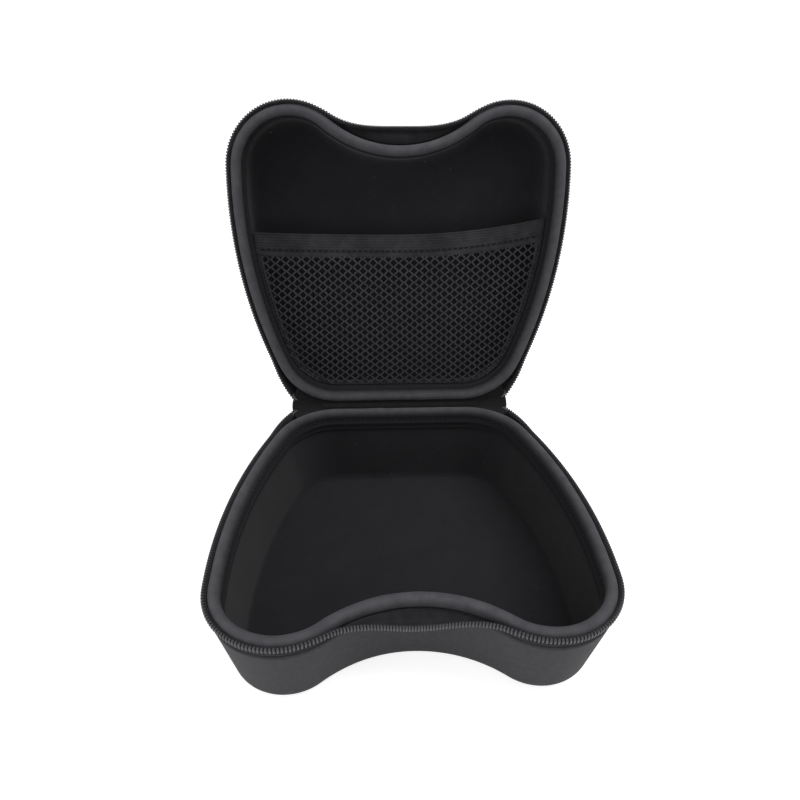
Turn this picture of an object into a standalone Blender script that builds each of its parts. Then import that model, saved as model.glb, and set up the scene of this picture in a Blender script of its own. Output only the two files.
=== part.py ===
"""Zip-round carrying case for a game controller, standing open on its deeper half.

Two moulded foam cups of one outline, two lobes with a dip between them, are joined along their
narrow side by a cloth hinge. Each cup has a fabric lining, a bound edge and half of the zip round
its rim, and the lid holds a net pocket. Everything is worked out in a frame on the hinge axis.
There a point is given by its place on the outline, how far it lies outside that outline, and how
deep it lies below the plane in which the two rims meet.
"""
import math

import bmesh
import bpy
from mathutils import Vector

MM = 0.001

# Outline of the bound edge, the same for both halves
outline_depth = 163.3 * MM        # hinge side to the tips of the lobes
lobe_half_width = 89.6 * MM       # middle to the outside of a lobe
lobe_radius = 31.9 * MM
dip_depth = 20.1 * MM             # how far the front edge dips in between the lobes
side_bow_radius = 249.0 * MM      # the sides are bowed a little, not straight
corner_radius = 36.5 * MM         # round corners at the hinge side
back_straight_half = 37.0 * MM    # straight stretch of the hinge side, to one side of the middle

# The two moulded cups
base_height = 50.0 * MM           # underside to the plane where the rims meet
lid_height = 30.0 * MM
wall_thickness = 4.4 * MM
base_draft = math.radians(11.0)
lid_draft = math.radians(12.0)
base_edge_radius = 9.0 * MM
lid_edge_radius = 12.0 * MM
skin_proud = 1.0 * MM             # the outer skin lies this far outside the bound edge
lining_thickness = 0.9 * MM
fit_gap = 0.3 * MM                # left between pieces that touch on the real case

# Bound edge: a soft roll on the rim and a skirt sewn down over the lining
roll_width = 5.4 * MM
roll_height = 6.0 * MM
skirt_thickness = 0.7 * MM
skirt_depth = 12.0 * MM           # lower edge of the skirt, below the rims' plane
skirt_bead = 0.5 * MM             # the folded lower edge stands out this much more

# Zip: one tape and one coil on each half
tape_thickness = 0.55 * MM
tape_top = 1.0 * MM               # top edge of the tape below the rims' plane
coil_width = 3.2 * MM
coil_thickness = 1.8 * MM
rib_pitch = 4.8 * MM              # one rib stands for about three turns of the coil
rib_height = 0.7 * MM
zip_end = 60.0 * MM               # from the middle of the hinge to the end of the zip, along the edge
flare_start = 88.0 * MM           # from here to its end the zip runs straight on, off the round corner
flare_reach = 5.5 * MM            # how far it stands off at its end
collar_reach = 7.4 * MM           # in the dip the free zip stands off this far
collar_drop = 5.7 * MM            # and its upper edge hangs this much lower
collar_fold_drop = 4.3 * MM       # the fold between the shelf and the upright coil hangs this much lower
collar_half_length = 50.0 * MM    # along the edge, from the middle of the dip

# Cloth hinge
hinge_gap = 3.5 * MM              # between the two bound edges at the hinge side
open_angle = math.radians(103.5)  # lid, counted from shut
strip_half_length = 46.0 * MM
strip_reach = 20.0 * MM           # how far it runs down each half
strip_thickness = 0.8 * MM

# Net pocket in the lid
band_middle = 91.0 * MM           # middle of the elastic band from the hinge side, at the centre
band_left_rise = 0.5 * MM         # its left end sits this much further from the hinge
band_right_rise = 9.0 * MM
band_sag = 1.5 * MM
band_width = 13.0 * MM
band_thickness = 1.2 * MM
net_thickness = 0.8 * MM
net_border = 3.0 * MM
net_pitch_across = 15.0 * MM
net_pitch_along = 12.0 * MM
net_strand = 2.0 * MM

# Sliders, parked at both ends of the open zip, with hanging pulls
slider_middle = 53.0 * MM         # from the middle of the hinge, along the edge
slider_length = 10.5 * MM
slider_width = 8.0 * MM
slider_plate = 1.1 * MM
slider_slot = 1.6 * MM            # between the two plates
slider_depth = 6.6 * MM           # middle of the slider below the rims' plane
bridge_rise = 1.9 * MM            # pull's axis above the outer plate
bridge_radius = 0.7 * MM
bridge_foot = 1.3 * MM
pull_length = 22.0 * MM
pull_width = 7.0 * MM
pull_neck_width = 4.9 * MM        # where it holds the bridge
pull_thickness = 1.4 * MM
pull_knuckle = 1.5 * MM           # radius of the rolled end round the bridge
pull_hole_radius = 1.4 * MM

# How finely the curves are cut, as edges on one half of the outline
dip_edges = 5
lobe_edges = 9
side_edges = 4
corner_edges = 6
back_edges = 1
fillet_edges = 3
round_edges = 16
search_steps = 30                 # halvings when the band's ends are looked for

roll_foot = fit_gap / 2 + roll_height
shell_rim = roll_foot + fit_gap + wall_thickness * math.sin(max(base_draft, lid_draft))
tape_foot = shell_rim - 2 * fit_gap
tape_offset = skin_proud / 2
hinge_y = (outline_depth + hinge_gap) / 2
BASE, LID = -1, 1


def polar(angle):
    """Unit vector at an angle in the outline's plane."""
    return Vector((math.cos(angle), math.sin(angle)))


def angle_of(vector):
    """Angle of a vector in the outline's plane."""
    return math.atan2(vector.y, vector.x)


def arc(centre, radius, start, end, outward, edges):
    """Stretch of the outline on a circle; outward is -1 where the case lies outside the circle."""
    def at(share):
        direction = polar(start + (end - start) * share)
        return centre + direction * radius, direction * outward
    return {"length": abs(end - start) * radius, "at": at, "edges": edges}


def straight(start, end, outward, edges):
    """Straight stretch of the outline."""
    def at(share):
        return start.lerp(end, share), outward
    return {"length": (end - start).length, "at": at, "edges": edges}


def bow_centre(first, first_radius, second, second_radius, radius):
    """Centre of the large circle that both smaller ones touch from inside, on the middle's side."""
    first_reach = radius - first_radius
    second_reach = radius - second_radius
    axis = second - first
    along = (first_reach ** 2 - second_reach ** 2 + axis.length_squared) / (2 * axis.length)
    across = math.sqrt(first_reach ** 2 - along ** 2)
    axis.normalize()
    return first + axis * along + Vector((axis.y, -axis.x)) * across


def half_outline():
    """Right half of the outline from the middle of the dip to the middle of the hinge side."""
    lobe = Vector((lobe_half_width - lobe_radius, outline_depth - lobe_radius))
    corner = Vector((back_straight_half, corner_radius))
    rise = lobe_radius - dip_depth
    dip_radius = (lobe.x ** 2 + rise ** 2 - lobe_radius ** 2) / (2 * dip_depth)
    dip = Vector((0.0, outline_depth - dip_depth + dip_radius))
    bow = bow_centre(lobe, lobe_radius, corner, corner_radius, side_bow_radius)
    into_lobe = angle_of(dip - lobe)
    into_side = angle_of(lobe - bow)
    into_corner = angle_of(corner - bow)
    down = -math.pi / 2
    return [
        arc(dip, dip_radius, down, into_lobe - math.pi, -1, dip_edges),
        arc(lobe, lobe_radius, into_lobe, into_side, 1, lobe_edges),
        arc(bow, side_bow_radius, into_side, into_corner, 1, side_edges),
        arc(corner, corner_radius, into_corner, down, 1, corner_edges),
        straight(Vector((back_straight_half, 0.0)), Vector((0.0, 0.0)), Vector((0.0, -1.0)), back_edges),
    ]


outline = half_outline()
half_length = sum(piece["length"] for piece in outline)


def station(distance):
    """Point and outward normal at a distance from the middle of the dip, negative on the left."""
    left = abs(distance)
    for piece in outline:
        if left <= piece["length"] or piece is outline[-1]:
            break
        left -= piece["length"]
    point, normal = piece["at"](min(left / piece["length"], 1.0))
    side = -1.0 if distance < 0 else 1.0
    return Vector((point.x * side, point.y)), Vector((normal.x * side, normal.y))


def half_distances():
    """Distances of the outline's corners on the right half, both ends included."""
    distances = [0.0]
    start = 0.0
    for piece in outline:
        step = piece["length"] / piece["edges"]
        distances += [start + step * (i + 1) for i in range(piece["edges"])]
        start += piece["length"]
    return distances


def ring_distances():
    """Distances once round the outline."""
    right = half_distances()
    return right + [-d for d in reversed(right[1:-1])]


def front_distances(end, step):
    """Distances from the left end of the zip round the front to its right end."""
    count = max(2, round(2 * end / step))
    return [-end + 2 * end * i / count for i in range(count + 1)]


def place(distance, offset, depth, half):
    """Point in the hinge frame, outside the outline by offset and below the rims' plane by depth."""
    point, normal = station(distance)
    point = point + normal * offset
    return Vector((point.x, -(hinge_gap / 2 + point.y), depth * half))


def skin_at(depth, draft, inset=0.0):
    """Offset of the cup's wall at a depth, moved into the wall by inset."""
    return skin_proud - (depth - shell_rim) * math.tan(draft) - inset / math.cos(draft)


def lining_face(depth, draft):
    """Offset of the lining's inner face at a depth."""
    return skin_at(depth, draft, wall_thickness + fit_gap + lining_thickness)


def cup_profile(height, draft, edge_radius, inset):
    """Offsets and depths down the wall and round into the flat bottom."""
    radius = max(edge_radius - inset, lining_thickness + fit_gap)
    turn = height - inset - radius
    centre = skin_at(turn, draft, inset) - radius / math.cos(draft)
    profile = [(skin_at(shell_rim, draft, inset), shell_rim)]
    for i in range(fillet_edges + 1):
        angle = draft + (math.pi / 2 - draft) * i / fillet_edges
        profile.append((centre + radius * math.cos(angle), turn + radius * math.sin(angle)))
    return profile


def binding_profile(draft):
    """Closed section of the bound edge: the roll, then the skirt down over the lining."""
    middle = -roll_width / 2
    top = fit_gap / 2 + roll_height / 2
    profile = []
    for degrees in range(-70, 201, 45):
        angle = math.radians(degrees)
        profile.append((middle + roll_width / 2 * math.cos(angle), top - roll_height / 2 * math.sin(angle)))
    against = [lining_face(depth, draft) - fit_gap for depth in (shell_rim, skirt_depth)]
    profile += [
        (against[0] - skirt_thickness, shell_rim + fit_gap),
        (against[1] - skirt_thickness - skirt_bead, skirt_depth - 2 * skirt_bead),
        (against[1] - skirt_thickness / 2, skirt_depth),
        (against[1], skirt_depth - skirt_bead),
        (against[0], roll_foot),
    ]
    return profile


def collar(distance):
    """How much of its shelf the zip has, 1 in the middle of the dip and 0 beyond the lobes."""
    if abs(distance) >= collar_half_length:
        return 0.0
    return math.cos(math.pi / 2 * distance / collar_half_length) ** 2


def flare(distance):
    """How far the coil stands off the corner near the zip's end."""
    left = half_length - abs(distance)
    share = max(0.0, (flare_start - left) / (flare_start - zip_end))
    return flare_reach * share ** 2


def tape_line(distance):
    """Foot, bend and top edge of the tape at a distance, as offset and depth."""
    share = collar(distance)
    outside = tape_offset + collar_reach * share + flare(distance)
    foot = Vector((tape_offset, tape_foot))
    bend = Vector((outside, tape_foot - tape_top + collar_fold_drop * share))
    top = Vector((outside, tape_top + collar_drop * share))
    return foot, bend, top


def outer_normal(direction):
    """Direction out of the tape's outer face, in offset and depth."""
    return Vector((-direction.y, direction.x)).normalized()


def tape_section(distance):
    """Closed section of the tape."""
    foot, bend, top = tape_line(distance)
    at_foot = outer_normal(bend - foot) * tape_thickness / 2
    at_top = outer_normal(top - bend) * tape_thickness / 2
    at_bend = (at_foot + at_top) / 2
    return [foot + at_foot, bend + at_bend, top + at_top, top - at_top, bend - at_bend, foot - at_foot]


def coil_section(distance, rib):
    """Closed section of the coil on the tape's outer face; rib is 1 on a rib and 0 between two."""
    foot, bend, top = tape_line(distance)
    along = (top - bend).normalized()
    out = outer_normal(along)
    near = top + out * (tape_thickness / 2 + fit_gap)
    thick = out * (coil_thickness - rib_height * (1 - rib))
    tail = along * (coil_width - rib_height * (1 - rib))
    return [near, near + thick, near + thick - tail, near - tail]


def skin(name, loops, closed=False, caps=(True, True)):
    """Mesh through a list of closed loops, each joined to the next."""
    bm = bmesh.new()
    rows = [[bm.verts.new(point) for point in loop] for loop in loops]
    pairs = list(zip(rows, rows[1:]))
    if closed:
        pairs.append((rows[-1], rows[0]))
    for upper, lower in pairs:
        for i, corner in enumerate(upper):
            after = (i + 1) % len(upper)
            bm.faces.new((corner, lower[i], lower[after], upper[after]))
    if caps[0] and not closed:
        bm.faces.new(rows[0])
    if caps[1] and not closed:
        bm.faces.new(reversed(rows[-1]))
    mesh = bpy.data.meshes.new(name)
    bmesh.ops.recalc_face_normals(bm, faces=bm.faces)
    bm.to_mesh(mesh)
    bm.free()
    return mesh


def material(name, colour, roughness, metallic=0.0):
    """Principled material."""
    result = bpy.data.materials.new(name)
    result.use_nodes = True
    shader = result.node_tree.nodes["Principled BSDF"]
    shader.inputs["Base Color"].default_value = (*colour, 1.0)
    shader.inputs["Roughness"].default_value = roughness
    shader.inputs["Metallic"].default_value = metallic
    return result


def add(name, mesh, finish, carrier, sharp=40.0):
    """Object in the case's collection, hung on an empty."""
    obj = bpy.data.objects.new(name, mesh)
    case.objects.link(obj)
    obj.parent = carrier
    mesh.materials.append(finish)
    mesh.shade_smooth()
    mesh.set_sharp_from_angle(angle=math.radians(sharp))
    return obj


def add_cutter(name, mesh, carrier):
    """Object that only cuts others."""
    obj = bpy.data.objects.new(name, mesh)
    cutters.objects.link(obj)
    obj.parent = carrier
    obj.hide_render = True
    obj.display_type = "WIRE"
    return obj


def solidify(obj, thickness):
    """Give an open surface its wall, on the side that its normals point away from."""
    wall = obj.modifiers.new("wall", "SOLIDIFY")
    wall.thickness = thickness
    wall.offset = -1.0
    wall.use_even_offset = True


def boolean(obj, other, operation):
    """Join or cut with another object."""
    cut = obj.modifiers.new(operation.lower(), "BOOLEAN")
    cut.operation = operation
    cut.object = other


def cup(name, height, draft, edge_radius, inset, thickness, finish, carrier, half):
    """Moulded cup: rings of the outline down the wall, closed by the flat bottom."""
    rings = ring_distances()
    loops = [[place(d, offset, depth, half) for d in rings]
             for offset, depth in cup_profile(height, draft, edge_radius, inset)]
    mesh = skin(name, loops, caps=(False, True))
    bottom = max(mesh.polygons, key=lambda face: len(face.vertices))
    if bottom.normal.z * half < 0:
        mesh.flip_normals()
    obj = add(name, mesh, finish, carrier)
    solidify(obj, thickness)
    return obj


def make_half(prefix, height, draft, edge_radius, half, carrier):
    """Everything that both halves have: shell, lining, bound edge, zip tape and coil."""
    cup(prefix + "_shell", height, draft, edge_radius, 0.0, wall_thickness, skin_cloth, carrier, half)
    cup(prefix + "_lining", height, draft, edge_radius, wall_thickness + fit_gap, lining_thickness,
        lining_cloth, carrier, half)
    rings = ring_distances()
    binding = [[place(d, offset, depth, half) for d in rings] for offset, depth in binding_profile(draft)]
    add(prefix + "_binding", skin(prefix + "_binding", binding, closed=True), binding_cloth, carrier, 60.0)
    end = half_length - zip_end
    tape = [[place(d, *point, half) for point in tape_section(d)] for d in front_distances(end, rib_pitch)]
    add(prefix + "_zipper_tape", skin(prefix + "_zipper_tape", tape), tape_cloth, carrier)
    coil = [[place(d, *point, half) for point in coil_section(d, i % 2)]
            for i, d in enumerate(front_distances(end, rib_pitch / 2))]
    add(prefix + "_zipper_coil", skin(prefix + "_zipper_coil", coil), nylon, carrier)


def turned(vector, angle):
    """Vector turned about the hinge axis."""
    return Vector((vector.x, vector.y * math.cos(angle) - vector.z * math.sin(angle),
                   vector.y * math.sin(angle) + vector.z * math.cos(angle)))


def make_hinge_strip():
    """Cloth strip sewn down the back of both halves and folded between them at the hinge axis."""
    clear = fit_gap + strip_thickness / 2
    columns = []
    count = 2 * (back_edges + corner_edges)
    for i in range(count + 1):
        from_hinge = strip_half_length * (2 * i / count - 1)
        distance = math.copysign(half_length - abs(from_hinge), from_hinge)
        x = place(distance, 0.0, 0.0, BASE).x
        line = [place(distance, skin_at(depth, base_draft) + clear, depth, BASE)
                for depth in (strip_reach, shell_rim)]
        for share in (0.0, 0.5, 1.0):
            line.append(turned(Vector((x, -strip_thickness / 2, -strip_thickness)), -open_angle * share))
        line += [turned(place(distance, skin_at(depth, lid_draft) + clear, depth, LID), -open_angle)
                 for depth in (shell_rim, strip_reach)]
        columns.append(line)
    bm = bmesh.new()
    grid = [[bm.verts.new(point) for point in line] for line in columns]
    for left, right in zip(grid, grid[1:]):
        for i in range(len(left) - 1):
            bm.faces.new((left[i], right[i], right[i + 1], left[i + 1]))
    mesh = bpy.data.meshes.new("hinge_strip")
    bm.to_mesh(mesh)
    bm.free()
    obj = add("hinge_strip", mesh, hinge_cloth, base_frame)
    solidify(obj, strip_thickness)
    obj.modifiers["wall"].offset = 0.0


def band_height(across, share):
    """Distance from the hinge side of a line along the elastic band; share is -1 low, 1 high."""
    reach = across / lobe_half_width
    rise = band_left_rise if across < 0 else band_right_rise
    return band_middle + rise * reach ** 2 - band_sag * (1 - reach ** 2) + share * band_width / 2


def pocket_edge(distance):
    """Point of the outline moved in to the pocket's edge, with the distance from the hinge side up."""
    depth = skirt_depth + fit_gap
    local = place(distance, lining_face(depth + band_thickness, lid_draft) - 2 * fit_gap, depth, LID)
    return Vector((local.x, -local.y - hinge_gap / 2))


def pocket_side(side, share):
    """Where a line along the band meets the pocket's edge; side is -1 left, 1 right."""
    low, high = half_length / 3, half_length
    for _ in range(search_steps):
        middle = (low + high) / 2
        point = pocket_edge(side * middle)
        if point.y > band_height(point.x, share):
            low = middle
        else:
            high = middle
    return side * low, pocket_edge(side * low)


def band_line(share, count=8):
    """Points along the band from its left end to its right end."""
    left = pocket_side(-1, share)[1].x
    right = pocket_side(1, share)[1].x
    points = [left + (right - left) * i / count for i in range(count + 1)]
    return [Vector((x, band_height(x, share))) for x in points]


def plate(name, points, thickness):
    """Flat sheet of a closed outline, made as a filled curve and turned into a mesh."""
    curve = bpy.data.curves.new(name, "CURVE")
    curve.dimensions = "2D"
    curve.fill_mode = "BOTH"
    curve.extrude = thickness / 2
    spline = curve.splines.new("POLY")
    spline.points.add(len(points) - 1)
    for knot, point in zip(spline.points, points):
        knot.co = (point.x, point.y, 0.0, 1.0)
    spline.use_cyclic_u = True
    guide = bpy.data.objects.new(name, curve)
    case.objects.link(guide)
    bpy.context.view_layer.update()
    mesh = bpy.data.meshes.new_from_object(guide.evaluated_get(bpy.context.evaluated_depsgraph_get()))
    bpy.data.objects.remove(guide)
    bm = bmesh.new()
    bm.from_mesh(mesh)
    bmesh.ops.remove_doubles(bm, verts=bm.verts, dist=0.00001)
    bmesh.ops.recalc_face_normals(bm, faces=bm.faces)
    bm.to_mesh(mesh)
    bm.free()
    mesh.name = name
    return mesh


def lay_in_lid(obj, depth):
    """Lay a flat sheet into the lid, its middle at a depth below the rims' plane."""
    for vertex in obj.data.vertices:
        across, up, through = vertex.co
        vertex.co = (across, -(hinge_gap / 2 + up), depth + through)
    obj.data.flip_normals()


def inside(point, border, margin):
    """Whether a point lies inside a closed outline by at least a margin."""
    crossings = 0
    for start, end in zip(border, border[1:] + border[:1]):
        edge = end - start
        share = max(0.0, min(1.0, (point - start).dot(edge) / edge.length_squared))
        if (start + edge * share - point).length < margin:
            return False
        if (start.y > point.y) != (end.y > point.y):
            if start.x + edge.x * (point.y - start.y) / edge.y > point.x:
                crossings += 1
    return crossings % 2 == 1


def net_holes(border):
    """Centres of the net's diamonds, in staggered rows inside its border."""
    highest = max(point.y for point in border)
    widest = max(point.x for point in border)
    reach = (net_pitch_across - net_strand) / 2, (net_pitch_along - net_strand) / 2
    centres = []
    for row in range(int(highest / net_pitch_along * 2) + 1):
        shift = net_pitch_across / 2 * (row % 2)
        columns = int(widest / net_pitch_across) + 1
        for column in range(-columns, columns + 1):
            centre = Vector((column * net_pitch_across + shift, row * net_pitch_along / 2))
            corners = ((1, 0), (-1, 0), (0, 1), (0, -1))
            tips = [centre + Vector((reach[0] * x, reach[1] * y)) for x, y in corners]
            if all(inside(tip, border, net_border) for tip in tips):
                centres.append(centre)
    return centres


def make_pocket():
    """Net sewn in round the hinge end of the lid, with an elastic band along its mouth."""
    depth = skirt_depth + fit_gap + band_thickness / 2
    top = band_line(1.0)
    bottom = band_line(-1.0)
    band = plate("pocket_band", bottom + list(reversed(top)), band_thickness)
    lay_in_lid(add("pocket_band", band, elastic, lid_frame), depth)
    below = -1.0 - 2 * fit_gap / band_width
    left_end = pocket_side(-1, below)[0]
    right_end = pocket_side(1, below)[0]
    round_hinge = [d for d in ring_distances() if (d > right_end or d < left_end) and abs(d) < half_length]
    border = [pocket_edge(d) for d in [right_end] + round_hinge + [left_end]]
    border += band_line(below)[1:-1]
    net = plate("pocket_net", border, net_thickness)
    net_obj = add("pocket_net", net, net_thread, lid_frame)
    lay_in_lid(net_obj, depth)
    bm = bmesh.new()
    for centre in net_holes(border):
        made = bmesh.ops.create_cone(bm, segments=4, cap_ends=True, radius1=1.0, radius2=1.0, depth=1.0)
        for vertex in made["verts"]:
            vertex.co.x = centre.x + vertex.co.x * (net_pitch_across - net_strand) / 2
            vertex.co.y = -(hinge_gap / 2 + centre.y) + vertex.co.y * (net_pitch_along - net_strand) / 2
            vertex.co.z = depth + vertex.co.z * net_thickness * 3
    mesh = bpy.data.meshes.new("net_diamonds")
    bm.to_mesh(mesh)
    bm.free()
    boolean(net_obj, add_cutter("net_diamonds", mesh, lid_frame), "DIFFERENCE")


def box(name, size, middle=(0.0, 0.0, 0.0), bevel=0.0):
    """Box, with its edges rounded."""
    bm = bmesh.new()
    bmesh.ops.create_cube(bm, size=1.0)
    for vertex in bm.verts:
        vertex.co = Vector([vertex.co[i] * size[i] + middle[i] for i in range(3)])
    if bevel:
        bmesh.ops.bevel(bm, geom=list(bm.edges), offset=bevel, segments=1, affect="EDGES", profile=0.5)
    mesh = bpy.data.meshes.new(name)
    bm.to_mesh(mesh)
    bm.free()
    return mesh


def rod(name, radius, length, axis):
    """Round rod along X or Y through the origin."""
    bm = bmesh.new()
    bmesh.ops.create_cone(bm, segments=round_edges, cap_ends=True, radius1=radius, radius2=radius,
                          depth=length)
    for vertex in bm.verts:
        x, y, z = vertex.co
        vertex.co = (z, x, y) if axis == "X" else (x, z, -y)
    mesh = bpy.data.meshes.new(name)
    bm.to_mesh(mesh)
    bm.free()
    return mesh


def pull_profile():
    """Outline of the pull seen from its face, hanging down from the bridge."""
    half = pull_width / 2
    end = pull_length - half
    points = [Vector((-pull_neck_width / 2, 0.0)), Vector((pull_neck_width / 2, 0.0))]
    count = round_edges // 2
    for angle in [math.pi * i / count for i in range(count + 1)]:
        points.append(Vector((half * math.cos(angle), -(end + half * math.sin(angle)))))
    return points


def make_slider(side, word):
    """Slider outside the skin at one end of the zip, with its bridge, and the pull that hangs on it."""
    distance = side * (half_length - slider_middle)
    outside = skin_proud + fit_gap
    thick = 2 * slider_plate + slider_slot
    point, normal = station(distance)
    spot = place(distance, outside, slider_depth, BASE)
    frame = bpy.data.objects.new("slider_frame_" + word, None)
    case.objects.link(frame)
    frame.parent = base_frame
    frame.location = spot
    frame.rotation_euler = (0.0, 0.0, math.atan2(-normal.y, normal.x) + math.pi / 2)
    body = add("slider_" + word, box("slider_" + word, (slider_length, slider_plate, slider_width),
               (0.0, -slider_plate / 2, 0.0), slider_plate / 4), zinc, frame)
    axis_y = -(thick + bridge_rise)
    foot_x = slider_length / 2 - bridge_foot
    foot_height = bridge_rise + bridge_radius
    additions = [
        box("outer_plate", (slider_length, slider_plate, slider_width),
            (0.0, -(thick - slider_plate / 2), 0.0), slider_plate / 4),
        box("post", (slider_length / 3, slider_slot + slider_plate, slider_width / 3),
            (0.0, -thick / 2, 0.0)),
        rod("bridge", bridge_radius, 2 * foot_x, "X"),
        box("foot_left", (bridge_foot, foot_height, 2 * bridge_radius),
            (-foot_x, axis_y - bridge_radius + foot_height / 2, 0.0)),
        box("foot_right", (bridge_foot, foot_height, 2 * bridge_radius),
            (foot_x, axis_y - bridge_radius + foot_height / 2, 0.0)),
    ]
    for mesh in additions:
        piece = add_cutter(mesh.name + "_" + word, mesh, frame)
        if mesh.name.startswith("bridge"):
            piece.location = (0.0, axis_y, 0.0)
        boolean(body, piece, "UNION")
    axle = bpy.data.objects.new("pull_frame_" + word, None)
    case.objects.link(axle)
    axle.parent = frame
    axle.location = (0.0, axis_y, 0.0)
    tab = plate("pull_" + word, pull_profile(), pull_thickness)
    for vertex in tab.vertices:
        x, y, z = vertex.co
        vertex.co = (x, -z, y)
    pull = add("pull_" + word, tab, zinc, axle)
    knuckle_length = min(pull_neck_width, 2 * (foot_x - bridge_foot / 2 - fit_gap))
    knuckle = rod("knuckle", pull_knuckle, knuckle_length, "X")
    boolean(pull, add_cutter("knuckle_" + word, knuckle, axle), "UNION")
    bore = rod("bore", bridge_radius + fit_gap, slider_length, "X")
    boolean(pull, add_cutter("bore_" + word, bore, axle), "DIFFERENCE")
    eye = add_cutter("eye_" + word, rod("eye", pull_hole_radius, pull_width, "Y"), axle)
    eye.location = (0.0, 0.0, -(pull_length - pull_width / 2))
    boolean(pull, eye, "DIFFERENCE")


for old in list(bpy.data.objects):
    bpy.data.objects.remove(old)
case = bpy.data.collections.new("controller_case")
cutters = bpy.data.collections.new("cutters")
bpy.context.scene.collection.children.link(case)
bpy.context.scene.collection.children.link(cutters)

skin_cloth = material("outer_polyester", (0.045, 0.045, 0.048), 0.8)
lining_cloth = material("tricot_lining", (0.012, 0.012, 0.013), 0.95)
binding_cloth = material("knit_binding", (0.06, 0.06, 0.062), 0.9)
tape_cloth = material("zip_tape", (0.02, 0.02, 0.021), 0.85)
nylon = material("nylon_coil", (0.03, 0.03, 0.032), 0.4)
hinge_cloth = material("hinge_cloth", (0.03, 0.03, 0.032), 0.85)
elastic = material("elastic_band", (0.02, 0.02, 0.021), 0.9)
net_thread = material("net_thread", (0.025, 0.025, 0.027), 0.8)
zinc = material("black_zinc", (0.03, 0.03, 0.03), 0.35, 0.8)

base_frame = bpy.data.objects.new("base_frame", None)
lid_frame = bpy.data.objects.new("lid_frame", None)
for frame in (base_frame, lid_frame):
    case.objects.link(frame)
    frame.location = (0.0, hinge_y, base_height)
lid_frame.rotation_euler = (-open_angle, 0.0, 0.0)

make_half("base", base_height, base_draft, base_edge_radius, BASE, base_frame)
make_half("lid", lid_height, lid_draft, lid_edge_radius, LID, lid_frame)
make_hinge_strip()
make_pocket()
make_slider(-1, "left")
make_slider(1, "right")
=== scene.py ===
# %% [markdown]
# # A zip-round controller case, standing open
# The real case is two cups of moulded foam with cloth on both faces. Their outline has two lobes
# with a dip between them, like the controller that goes inside. The cups are joined by a cloth hinge,
# their edges are bound with a soft knit roll, and a nylon zip runs round outside it. A net pocket
# hangs in the lid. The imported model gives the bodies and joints, and every surface made here is a
# grid worked out with numpy on the same outline.

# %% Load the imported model
import math

import bpy
import numpy as np
from mathutils import Matrix, Vector


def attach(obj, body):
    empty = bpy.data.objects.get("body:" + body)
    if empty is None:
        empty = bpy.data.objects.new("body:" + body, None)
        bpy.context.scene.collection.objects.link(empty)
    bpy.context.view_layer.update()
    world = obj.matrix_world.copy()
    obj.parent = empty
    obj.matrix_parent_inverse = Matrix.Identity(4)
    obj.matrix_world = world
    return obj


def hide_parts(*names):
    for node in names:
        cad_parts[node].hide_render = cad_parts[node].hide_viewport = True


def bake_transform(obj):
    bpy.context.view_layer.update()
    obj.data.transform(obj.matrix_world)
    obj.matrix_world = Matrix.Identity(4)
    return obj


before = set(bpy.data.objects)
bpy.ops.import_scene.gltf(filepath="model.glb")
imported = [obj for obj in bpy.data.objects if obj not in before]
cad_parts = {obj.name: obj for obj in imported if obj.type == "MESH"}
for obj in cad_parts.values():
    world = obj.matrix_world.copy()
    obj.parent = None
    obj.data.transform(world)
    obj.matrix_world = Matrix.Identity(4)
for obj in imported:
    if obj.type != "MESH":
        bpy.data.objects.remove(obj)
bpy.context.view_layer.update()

# %% [markdown]
# ## The sizes that everything shares
# A tailor cuts both halves from one pattern, so one outline serves here too. It is worked out in a
# frame on the hinge axis: a place along the outline, an offset outside it and a depth below the
# plane in which the two rims meet.

# %% Named sizes
MM = 0.001
outline_depth = 163.3 * MM
lobe_half_width = 89.6 * MM
lobe_radius = 31.9 * MM
dip_depth = 20.1 * MM
side_bow_radius = 249.0 * MM
corner_radius = 36.5 * MM
back_straight_half = 37.0 * MM
hinge_gap = 3.5 * MM
open_angle = math.radians(103.5)
base_height, lid_height = 50.0 * MM, 30.0 * MM
base_draft, lid_draft = math.radians(11.0), math.radians(12.0)
base_edge_radius, lid_edge_radius = 9.0 * MM, 12.0 * MM
wall_thickness = 4.4 * MM
skin_proud = 1.0 * MM
lining_thickness = 0.9 * MM
fit_gap = 0.3 * MM
roll_foot = fit_gap / 2 + 6.0 * MM
shell_rim = roll_foot + fit_gap + wall_thickness * math.sin(lid_draft)
skirt_depth = 12.0 * MM
hinge_y = (outline_depth + hinge_gap) / 2
BASE, LID = -1, 1

# %% [markdown]
# ## The outline
# Five tangent pieces make one half: the dip, a lobe, the bowed side, a corner and the straight
# hinge side. Because each piece is an arc or a line, the point and the outward direction at any
# distance follow from one formula, and whole arrays of distances can be turned into points at once.

# %% The outline as a function of the distance along it
def bow_centre(first, first_radius, second, second_radius, radius):
    """Centre of the circle round both smaller ones: where circles of radius minus each of theirs meet."""
    reach = radius - first_radius
    axis = second - first
    gap = np.linalg.norm(axis)
    along = (reach ** 2 - (radius - second_radius) ** 2 + gap ** 2) / (2 * gap)
    axis = axis / gap
    return first + axis * along + np.array([axis[1], -axis[0]]) * math.sqrt(reach ** 2 - along ** 2)


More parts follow.
